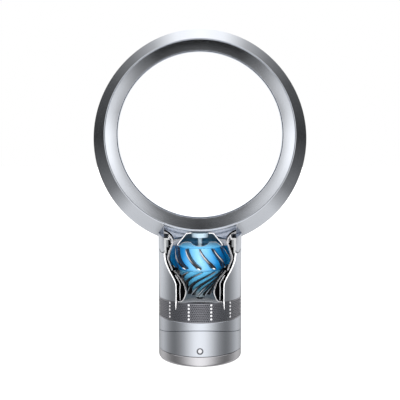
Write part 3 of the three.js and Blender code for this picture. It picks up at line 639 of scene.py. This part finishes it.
def edge_tail(side):
    """Tapered strip that carries the window's edge on over the grille."""
    top, tip, width = CASING_BOTTOM + 0.5, 94.0, 1.2
    foot = WINDOW_HALF[0][0]
    bm = bmesh.new()
    layers = []
    for r in (BODY_R - 1.0, BODY_R):
        layer = []
        for x, z in ((foot + 0.2, top), (foot - width, top), (foot - width / 2, (top + tip) / 2),
                     (foot, tip), (foot + 0.2, tip)):
            angle = side * math.asin(x / BODY_R)
            layer.append(bm.verts.new((r * math.sin(angle), -r * math.cos(angle), z)))
        layers.append(layer)
        bm.faces.new(layer)
    for k in range(5):
        j = (k + 1) % 5
        bm.faces.new((layers[0][k], layers[0][j], layers[1][j], layers[1][k]))
    name = "window_edge_left" if side < 0 else "window_edge_right"
    return add(to_object(name, bm, [section]), "body", "silver_shell")


def make_upper_casing():
    outline = [
        (BODY_R - WALL, CASING_BOTTOM), (BODY_R - EDGE_BREAK, CASING_BOTTOM),
        (BODY_R, CASING_BOTTOM + EDGE_BREAK), (BODY_R, CASING_TOP - EDGE_BREAK),
        (BODY_R - EDGE_BREAK, CASING_TOP), (BODY_R - WALL, CASING_TOP),
    ]
    shell = lathe("main_casing", outline, [silver])
    add(combine(shell, window_tool()), "body", "silver_shell", "upper_casing")
    for side in (-1, 1):
        edge_tail(side)


# ---------------------------------------------------------------- loop and collar

LOOP_WALL = 2.2
CROWN_Y = 11.0
REAR = (20.0, 35.0)                 # half ellipse of the loop's back: width, depth


def loop_outside(grow=0.0):
    """(radius, y) from the front edge over the crown and round the back."""
    centre = (LOOP_R - REAR[0], CROWN_Y)
    flank = curve_through([(EDGE_R + 0.5, EDGE_Y), (162.8, -25.0), (172.6, -6.0), (176.4, 2.0),
                           (LOOP_R, CROWN_Y)], 6)
    back = arc(centre, (REAR[0] + grow, REAR[1] + grow), 0, 125, 36)
    return flank[:-1] + back


LOOP_SAG = 7.4                      # the crown's circle lies this much under the front edge's
SAG_SPARED = 0.6                    # share of it that the very top of the loop is spared


def let_sag(piece):
    """Lower the loop's outer skin towards its crown, so that the channel is deepest below."""
    for vertex in piece.data.vertices:
        x, _, z = (value / MM for value in vertex.co)
        radius = math.hypot(x, z - LOOP_Z)
        share = min(1.0, max(0.0, (radius - EDGE_R) / (LOOP_R - EDGE_R)))
        height = max(0.0, (z - LOOP_Z) / radius)
        vertex.co.z -= LOOP_SAG * MM * share * (1 - SAG_SPARED * height ** 3)
    return piece


NECK = (51.5, 41.0)                 # half width and half depth of the hole over the duct
FLARE_DEPTH = 22.0


def neck_flare(side):
    """Curved wall at one side of the neck, near black with painted shade towards the air, pale
    where it is cut.
    """
    air = curve_through([(44.9, 197.0), (46.4, 201.5), (48.9, 205.6), (54.5, 210.6),
                         (61.0, 213.6), (63.5, 214.1)], 5)
    back = curve_through([(63.5, 211.0), (59.5, 209.0), (55.8, 206.6), (50.8, 203.2),
                          (48.6, 200.2), (47.1, 197.0)], 5)
    outline = [(side * x, z) for x, z in air + back]
    name = "neck_flare_left" if side < 0 else "neck_flare_right"
    return add(prism(name, outline, [cavity_shade, section_inner], "Y", 0.3, FLARE_DEPTH), "body",
               "silver_shell")


def make_loop():
    centre = (LOOP_R - REAR[0], CROWN_Y)
    outline = [
        *loop_outside(), (141.6, 35.4), (138.6, 25.0), (139.8, 25.0), (143.1, 33.8),
        *arc(centre, (REAR[0] - LOOP_WALL, REAR[1] - LOOP_WALL), 123, 0, 24),
        (170.6, -5.0), (EDGE_R - 0.5, -41.1), (EDGE_R - 0.5, -43.7),
    ]
    outer = lathe("loop_shell_outer", outline, [silver, section], about="Y", centre=LOOP_Z,
                  steps=320)
    neck_hole = prism("neck_hole", arc((0, 0), NECK, 0, 360, 96)[:-1], [silver], "Z", 190, 210)
    combine(outer, neck_hole)
    cutter = block("front_cut", [section], (-60, 60), (-80, 0), (190, LOOP_Z - EDGE_R + 14))
    keep = lathe("kept_edge", [(100, -90), (EDGE_R + 1, -90), (EDGE_R + 1, 20), (100, 20)],
                 [section], about="Y", centre=LOOP_Z)
    combine(cutter, keep)
    combine(outer, cutter)
    add(let_sag(outer), "body", "silver_shell", "loop_outer_casing")
    for side in (-1, 1):
        neck_flare(side)

    inside = curve_through([(151.5, -43.6), (146.5, -20.0), (142.6, 2.0), (140.6, 18.0),
                            (141.2, 25.0), (144.4, 32.0)], 8)
    inner_outline = [*inside, (146.2, 30.9), (143.1, 24.4), (142.6, 18.4), (152.3, -37.0),
                     (151.9, -43.6)]
    inner = lathe("loop_shell_inner", inner_outline, [silver], about="Y", centre=LOOP_Z, steps=320)
    return add(inner, "body", "silver_shell", "loop_inner_casing")


def collar_vault(drawn_in, material):
    """Arch over X that rounds the collar off to front and back."""
    shoulder, crown_y = 185.0, 8.0
    rise = COLLAR_CROWN - shoulder - drawn_in
    reach = BODY_R - drawn_in
    return prism("vault", [
        *arc((crown_y, shoulder), (reach - crown_y, rise), 0, 90, 24),
        *arc((crown_y, shoulder), (reach + crown_y, rise), 97, 180, 24),
        (-reach, 150), (reach, 150),
    ], [material], "X", -90, 90)


def loop_envelope():
    """Solid that the loop fills, with a little room round it."""
    return let_sag(lathe("envelope", [*[(r + 0.3, y) for r, y in loop_outside(0.3)], (120, 40),
                                      (120, EDGE_Y)], [cavity_shade], about="Y", centre=LOOP_Z))


def make_collar():
    wall_thickness, grip_radius, grip_foot = 3.2, 64.2, 193.0
    inside = BODY_R - wall_thickness

    def drum(name, radius, bottom, drawn_in, material):
        solid = lathe(name, [(0, bottom), (radius, bottom), (radius, 230), (0, 230)], [material])
        return combine(solid, collar_vault(drawn_in, material), "INTERSECT")

    shell = drum("collar", BODY_R, COLLAR_BOTTOM, 0.0, silver)
    combine(shell, drum("hollow", inside, 151, wall_thickness, cavity_shade))
    grip = lathe("collar_grip", [(grip_radius, grip_foot), (inside - 0.1, grip_foot),
                                 (inside - 0.1, 230), (grip_radius, 230)], [cavity_shade])
    combine(grip, collar_vault(wall_thickness + 0.1, cavity_shade), "INTERSECT")
    for piece, face in ((shell, collar_face), (grip, section_grey)):
        combine(piece, loop_envelope())
        combine(piece, block("front_flat", [face], (-90, 90), (-90, COLLAR_CUT), (150, 240)))
        combine(piece, block("front_gap", [cavity_shade], (-51.8, 51.8), (-90, 0), (190, 240)))
    groove_x, groove_z, groove_outer, groove_inner = 62.4, 187.4, 4.7, 3.7
    for side in (-1, 1):
        centre = (side * groove_x, groove_z)
        groove = [*arc(centre, (groove_outer, groove_outer), 180, 360, 20),
                  *arc(centre, (groove_inner, groove_inner), 360, 180, 20)]
        combine(shell, prism("groove", groove, [cavity_shade], "Y", -80, -20))
    add(shell, "body", "silver_shell", "neck_collar")
    add(grip, "body", "silver_shell")
    rising = curve_through([(45.0, 197.0), (45.3, 199.5), (45.9, 202.0)], 6)
    throat = half_wall("neck_throat", wall(rising, -1.3), duct_painted_shade)
    return add(combine(throat, loop_envelope()), "body", "silver_shell")


# ---------------------------------------------------------------- duct, shroud and jacket


def half_wall(name, outline, face_material):
    """Half revolve behind the section plane, with pale cut faces."""
    return lathe(name, outline, [face_material, section_inner], start=0, end=180, steps=FINE // 2)


def make_ducts():
    duct = curve_through(DUCT_INNER, 6)
    top = [(47.2, 194.0), (49.2, 194.3), (49.2, 196.3)]
    outside = offset(curve_through(DUCT_INNER[:-1], 6), -2.3)
    add(half_wall("duct_wall", [*duct, *reversed(top), *reversed(outside)], duct_painted_shade),
        "body", "duct_plastic", "diffuser_duct")

    # The shroud has two skins with a hollow between them; a dark core fills it as painted shade,
    # and stands back from the section.
    shroud = curve_through(SHROUD_INNER, 6)
    core_near, core_far, thickness = 0.6, 1.4, 2.0
    core_back = 1.5                 # degrees that the core stands back
    for name, near, far, first, face, nodes in (
        ("shroud_inner_skin", 0.0, core_near, 0.0, mouth_painted_light, ["impeller_shroud"]),
        ("shroud_outer_skin", core_far, thickness, 0.0, cavity_shade, []),
        ("shroud_core_painted_shade", core_near, core_far, core_back, core_shade, []),
    ):
        outline = [*offset(shroud, near), *reversed(offset(shroud, far))]
        piece = lathe(name, outline, [face, core_shade if first else section_inner], start=first,
                      end=180 - first, steps=FINE // 2)
        add(piece, "body", "duct_plastic", *nodes)
    # Below this height the shroud is solid, so the core's place is pale at the section.
    lip_top = min(z for _, z in shroud if z > 113.0)
    lip = [point for point in shroud if point[1] <= lip_top]
    rib = [*offset(lip, core_near), *reversed(offset(lip, core_far))]
    for name, start in (("shroud_lip", 0.0), ("shroud_lip_far", 180.0 - core_back)):
        add(lathe(name, rib, [section], start=start, end=start + core_back, steps=2), "body",
            "duct_plastic")

    jacket = curve_through([(40.9, 139.2), (36.9, 132.6), (33.0, 124.0), (33.4, 113.0),
                            (32.6, 95.4)], 6)
    add(half_wall("jacket_wall", wall(jacket, 1.7), cavity_shade),
        "body", "duct_plastic", "shroud_jacket")


# ---------------------------------------------------------------- hub, vanes and impeller


def blade_row(name, count, low, high, inner, outer, turn, thick, materials, stations=28):
    """Twisted aerofoil blades between two profiles; turn is in degrees by share of height.

    The tips and the lower ends take the second material, which carries the painted highlights.
    """
    bm = bmesh.new()
    for blade in range(count):
        rings = []
        for s in range(stations + 1):
            share = s / stations
            z = low + (high - low) * share
            angle = math.radians(turn(share) - 90 + 360 / count * blade)
            half = thick(share) / 2
            near, far = inner(z), outer(z)
            ring = []
            for r, side in ((near, -1), (far - 0.3, -1), (far, -0.8), (far, 0.1),
                            (far - 0.3, 1), (near, 1)):
                at = angle + side * half / r
                ring.append(bm.verts.new((r * math.cos(at), r * math.sin(at), z)))
            rings.append(ring)
        for ring, after in zip(rings, rings[1:]):
            for k in range(len(ring)):
                j = (k + 1) % len(ring)
                face = bm.faces.new((ring[k], ring[j], after[j], after[k]))
                face.material_index = int(k == 2)
        bm.faces.new(rings[0]).material_index = 1
        bm.faces.new(rings[-1])
    return to_object(name, bm, materials, sharp=math.radians(50))


def make_diffuser():
    hub = curve_through(DIFFUSER_HUB, 8)
    inner = offset(hub, 2.0)
    shell = lathe("hub_barrel", [(9, 152.2), *hub, *reversed(inner[:-1]), (36.4, 154.2),
                                 (9, 154.2)], [hub_painted_highlight])
    add(shell, "body", "blue_plastic", "diffuser_hub")
    nose = 0.12                     # share of the height over which the nose rounds off

    def thickness(share):
        rounding = math.sqrt(max(0.0, 1 - (1 - min(share / nose, 1.0)) ** 2))
        return (3 + 6.5 * (1 - share) ** 1.3) * max(rounding, 0.05)

    vanes = blade_row(
        "diffuser_vanes", VANES, 156.6, 189.6,
        lambda z: radius_at(hub, z) - 0.8, lambda z: radius_at(DUCT_INNER, z) - 0.7,
        lambda share: 31 * (1 - share) ** 1.3, thickness, [vane_dark, vane_painted_highlight], stations=48)
    add(vanes, "body", "blue_plastic")


def make_cap():
    """Dome over the hub; its front is open above an apron that dips round the post."""
    shell = curve_through(CAP_OUTSIDE, 4) + curve_through(CAP_INSIDE, 4)
    dome = lathe("cap_dome", shell, [cap_grey])
    edge = [(60, 190.6), (36.0, 190.8), (30.5, 195.5), (26.0, 198.4), (21.0, 199.4)]
    dip = arc((0, 200.6), (15.0, 7.0), -8, -172, 24)
    outline = edge + dip + [(-x, z) for x, z in reversed(edge)] + [(-60, 240), (60, 240)]
    combine(dome, prism("cap_opening", outline, [section], "Y", -80, 0))
    add(dome, "body", "cap_plastic", "motor_cap")
    post = lathe("mount_post", [
        (0, 188), (5.5, 188), (3.6, 190), (3.6, 203.6), (4.2, 204), (13.3, 204),
        (13.7, 204.4), (13.7, 211.4), (13.3, 211.8), (0, 211.8),
    ], [post_pale], steps=96)
    add(post, "body", "cap_plastic", "motor_mount_post")


def make_impeller():
    hub = curve_through(IMPELLER_HUB, 8)
    bore, boss = 2.8, [(8.5, 103), (9.5, 107)]
    outline = [(bore, 103), *boss, *hub, (35.4, ROTOR_TOP), (26, 140), (bore, 140)]
    wheel = lathe("impeller_cone", outline, [wheel_painted_reflection])
    add(wheel, "rotor", "blue_plastic", "impeller")
    throat = curve_through(SHROUD_INNER[:5], 6)
    low, high = throat[-1][1], throat[0][1]
    blades = blade_row(
        "impeller_blades", BLADES, 108.0, 151.0,
        lambda z: radius_at(hub, z) - 0.8,
        lambda z: radius_at(throat, min(max(z, low), high)) - 1.2,
        lambda share: 112 * share ** 1.12 - 8.6,
        lambda share: 2.4 + 5 * math.sin(math.pi * share),
        [blade_dark, blade_painted_highlight], stations=40)
    add(blades, "rotor", "blue_plastic")


# ---------------------------------------------------------------- studio


def emission(name):
    material = bpy.data.materials.new(name)
    material.use_nodes = True
    nodes = material.node_tree.nodes
    nodes.clear()
    return material, nodes, material.node_tree.links.new


def set_ramp(ramp, stops):
    """Colour ramp from (position, grey) stops."""
    elements = ramp.color_ramp.elements
    while len(elements) > 1:
        elements.remove(elements[-1])
    elements[0].position = stops[0][0]
    elements[0].color = (*[stops[0][1]] * 3, 1)
    for position, grey in stops[1:]:
        elements.new(position).color = (*[grey] * 3, 1)


def linear(value):
    """Linear light of an 8-bit display value."""
    share = value / 255
    return share / 12.92 if share < 0.04 else ((share + 0.055) / 1.055) ** 2.4


def light_ramp(nodes, link, turn, stops):
    """Ramp of the light that the lacquer shows as (degrees, display value) stops."""
    ramp = nodes.new("ShaderNodeValToRGB")
    set_ramp(ramp, [(a / 180, linear(v) / LACQUER) for a, v in stops])
    link(turn.outputs["Value"], ramp.inputs["Fac"])
    return ramp


def studio_object(name, bm, material):
    """Object from a bmesh in metres."""
    mesh = bpy.data.meshes.new(name)
    bm.to_mesh(mesh)
    bm.free()
    mesh.materials.append(material)
    piece = bpy.data.objects.new(name, mesh)
    bpy.context.scene.collection.objects.link(piece)
    return piece


# Display values that the lacquer shows, by the angle from the front of what it mirrors.
TENT_HIGH = [(0, 240), (14, 232), (28, 208), (45, 165), (57, 138), (74, 116), (86, 122),
             (94, 142), (101, 158), (108, 173), (118, 190), (127, 194), (136, 188), (145, 176),
             (156, 163), (168, 150), (180, 140)]
TENT_LOW = [(0, 238), (14, 230), (28, 203), (45, 154), (57, 122), (74, 98), (86, 110), (101, 140),
            (112, 160), (123, 176), (134, 172), (145, 160), (160, 150), (180, 180)]
LACQUER = 0.8                       # share of the light that the lacquer gives back
TENT_BORDER = (-0.26, -0.20)        # rise of the mirrored direction, from low to high tent
OVERHEAD_BORDER = (0.35, 0.85)      # and from the high tent to the light overhead


def make_world():
    """White all round for the camera and soft light; gloss mirrors a tent of light and dark."""
    world = bpy.data.worlds.new("studio")
    bpy.context.scene.world = world
    world.use_nodes = True
    nodes, link = world.node_tree.nodes, world.node_tree.links.new
    nodes.clear()
    place = nodes.new("ShaderNodeTexCoord")
    axes = nodes.new("ShaderNodeSeparateXYZ")
    link(place.outputs["Generated"], axes.inputs["Vector"])
    flat = nodes.new("ShaderNodeVectorMath")
    flat.operation = "MULTIPLY"
    flat.inputs[1].default_value = (1, 1, 0)
    link(place.outputs["Generated"], flat.inputs[0])
    unit = nodes.new("ShaderNodeVectorMath")
    unit.operation = "NORMALIZE"
    link(flat.outputs["Vector"], unit.inputs[0])
    ahead = nodes.new("ShaderNodeVectorMath")
    ahead.operation = "DOT_PRODUCT"
    ahead.inputs[1].default_value = (0, -1, 0)
    link(unit.outputs["Vector"], ahead.inputs[0])
    angle = nodes.new("ShaderNodeMath")
    angle.operation = "ARCCOSINE"
    link(ahead.outputs["Value"], angle.inputs[0])
    turn = nodes.new("ShaderNodeMath")
    turn.operation = "DIVIDE"
    turn.inputs[1].default_value = math.pi
    link(angle.outputs["Value"], turn.inputs[0])
    rise = share_between(nodes, link, axes.outputs["Z"], TENT_BORDER)
    tent = nodes.new("ShaderNodeMixRGB")
    link(rise.outputs["Result"], tent.inputs["Fac"])
    for socket, stops in (("Color1", TENT_LOW), ("Color2", TENT_HIGH)):
        ramp = light_ramp(nodes, link, turn, stops)
        link(ramp.outputs["Color"], tent.inputs[socket])

    high = share_between(nodes, link, axes.outputs["Z"], OVERHEAD_BORDER)
    high.interpolation_type = "SMOOTHSTEP"
    overhead = nodes.new("ShaderNodeMixRGB")
    overhead.inputs["Color2"].default_value = (0.95, 0.95, 0.97, 1)
    link(high.outputs["Result"], overhead.inputs["Fac"])
    link(tent.outputs["Color"], overhead.inputs["Color1"])

    mirrored = nodes.new("ShaderNodeBackground")
    link(overhead.outputs["Color"], mirrored.inputs["Color"])
    plain = nodes.new("ShaderNodeBackground")
    plain.inputs["Color"].default_value = (1, 1, 1, 1)
    paths = nodes.new("ShaderNodeLightPath")
    choose = nodes.new("ShaderNodeMixShader")
    link(paths.outputs["Is Glossy Ray"], choose.inputs["Fac"])
    link(plain.outputs["Background"], choose.inputs[1])
    link(mirrored.outputs["Background"], choose.inputs[2])
    output = nodes.new("ShaderNodeOutputWorld")
    link(choose.outputs["Shader"], output.inputs["Surface"])


# Display values round the loop, by clock angle from the top: its outer band, then the inner
# band at its front edge and at its throat.
OUTER_BAND = [(0, 250), (14, 238), (28, 160), (42, 112), (60, 70), (90, 45), (108, 82),
              (121, 110), (130, 165), (136, 198), (155, 192), (180, 195)]
INNER_EDGE = [(0, 2), (28, 20), (42, 105), (60, 200), (75, 215), (90, 255), (105, 255),
              (120, 222), (140, 190), (160, 90), (180, 30)]
INNER_THROAT = [(0, 85), (28, 75), (45, 125), (60, 165), (75, 160), (90, 200), (105, 185),
                (120, 172), (135, 165), (150, 100), (180, 70)]
THROAT_BORDER = (0.082, 0.112)      # metres from the card's middle, from edge to throat
BAND_BORDER = (0.14, 0.17)          # and from the throat to the outer band


def card_reach(angle):
    """Radius of the card: small below, so that the body's own sides don't mirror it."""
    height = math.sin(angle)
    if height > -0.3:
        return 0.55
    return 0.36 if height > -0.9 else 0.28


def make_loop_reflector():
    """Round card behind the loop that only its gloss mirrors, shaded by clock angle."""
    material, nodes, link = emission("reflector")
    place = nodes.new("ShaderNodeTexCoord")
    axes = nodes.new("ShaderNodeSeparateXYZ")
    link(place.outputs["Object"], axes.inputs["Vector"])
    span = nodes.new("ShaderNodeVectorMath")
    span.operation = "LENGTH"
    link(place.outputs["Object"], span.inputs[0])
    clock = nodes.new("ShaderNodeMath")
    clock.operation = "ARCTAN2"
    side = nodes.new("ShaderNodeMath")
    side.operation = "ABSOLUTE"
    link(axes.outputs["X"], side.inputs[0])
    link(side.outputs["Value"], clock.inputs[0])
    link(axes.outputs["Z"], clock.inputs[1])
    turn = nodes.new("ShaderNodeMath")
    turn.operation = "DIVIDE"
    turn.inputs[1].default_value = math.pi
    link(clock.outputs["Value"], turn.inputs[0])
    ramps = [light_ramp(nodes, link, turn, stops)
             for stops in (INNER_EDGE, INNER_THROAT, OUTER_BAND)]
    colour = ramps[0].outputs["Color"]
    for ramp, border in zip(ramps[1:], (THROAT_BORDER, BAND_BORDER)):
        share = share_between(nodes, link, span.outputs["Value"], border)
        mix = nodes.new("ShaderNodeMixRGB")
        link(share.outputs["Result"], mix.inputs["Fac"])
        link(colour, mix.inputs["Color1"])
        link(ramp.outputs["Color"], mix.inputs["Color2"])
        colour = mix.outputs["Color"]
    glow = nodes.new("ShaderNodeEmission")
    link(colour, glow.inputs["Color"])
    clear = nodes.new("ShaderNodeBsdfTransparent")
    geometry = nodes.new("ShaderNodeNewGeometry")
    one_sided = nodes.new("ShaderNodeMixShader")
    link(geometry.outputs["Backfacing"], one_sided.inputs["Fac"])
    link(glow.outputs["Emission"], one_sided.inputs[1])
    link(clear.outputs["BSDF"], one_sided.inputs[2])
    output = nodes.new("ShaderNodeOutputMaterial")
    link(one_sided.outputs["Shader"], output.inputs["Surface"])

    bm = bmesh.new()
    rim = [bm.verts.new((card_reach(a) * math.cos(a), 0, card_reach(a) * math.sin(a)))
           for a in (2 * math.pi * i / 96 for i in range(96))]
    bm.faces.new(rim)
    bmesh.ops.recalc_face_normals(bm, faces=bm.faces)
    bm.normal_update()
    if bm.faces[:][0].normal.y > 0:
        bmesh.ops.reverse_faces(bm, faces=bm.faces)
    card = studio_object("loop_reflector", bm, material)
    card.location = (0, 0.08, LOOP_Z * MM)
    for kind in ("camera", "diffuse", "shadow", "transmission", "volume_scatter"):
        setattr(card, f"visible_{kind}", False)


def make_floor():
    material, _, _, shader = new_material("floor")
    shader.inputs["Base Color"].default_value = (0.9, 0.9, 0.9, 1)
    shader.inputs["Roughness"].default_value = 0.9
    shader.inputs["Specular IOR Level"].default_value = 0.0
    shader.inputs["Emission Color"].default_value = (1, 1, 1, 1)
    shader.inputs["Emission Strength"].default_value = 0.75
    bm = bmesh.new()
    bmesh.ops.create_grid(bm, x_segments=1, y_segments=1, size=6.0)
    floor = studio_object("floor", bm, material)
    floor.visible_glossy = False


CAMERA_PLACE = (0, -1.2153, 0.386)
CAMERA_DIP = 5.62                   # degrees below level
CAMERA_LENS = 65.74                 # on a sensor 36 mm wide


def make_camera():
    data = bpy.data.cameras.new("camera")
    data.sensor_width = 36.0
    data.lens = CAMERA_LENS
    camera = bpy.data.objects.new("camera", data)
    camera.location = CAMERA_PLACE
    camera.rotation_euler = (math.radians(90 - CAMERA_DIP), 0, 0)
    bpy.context.scene.collection.objects.link(camera)
    bpy.context.scene.camera = camera


def make_lights():
    """Soft boxes in front, one high, one level with the window; gloss doesn't mirror them."""
    for name, size, energy, place, aim in (
        ("front_box", (0.5, 0.9), 6.0, (0.0, -1.6, 0.9), (0, 0, 0.2)),
        ("window_box", (0.3, 0.2), 2.5, (0.0, -0.9, 0.2), (0, 0, 0.15)),
    ):
        light = bpy.data.lights.new(name, "AREA")
        light.shape = "RECTANGLE"
        light.size, light.size_y = size
        light.energy = energy
        lamp = bpy.data.objects.new(name, light)
        lamp.location = place
        lamp.rotation_euler = (Vector(aim) - lamp.location).to_track_quat("-Z", "Y").to_euler()
        lamp.visible_glossy = False
        bpy.context.scene.collection.objects.link(lamp)


# ---------------------------------------------------------------- assembly

make_camera()
make_foot()
make_base()
make_button()
make_lower_casing()
make_grille()
make_upper_casing()
make_loop()
make_collar()
make_ducts()
make_diffuser()
make_cap()
make_impeller()
make_world()
make_loop_reflector()
make_floor()
make_lights()

bpy.context.scene.view_settings.view_transform = "Standard"
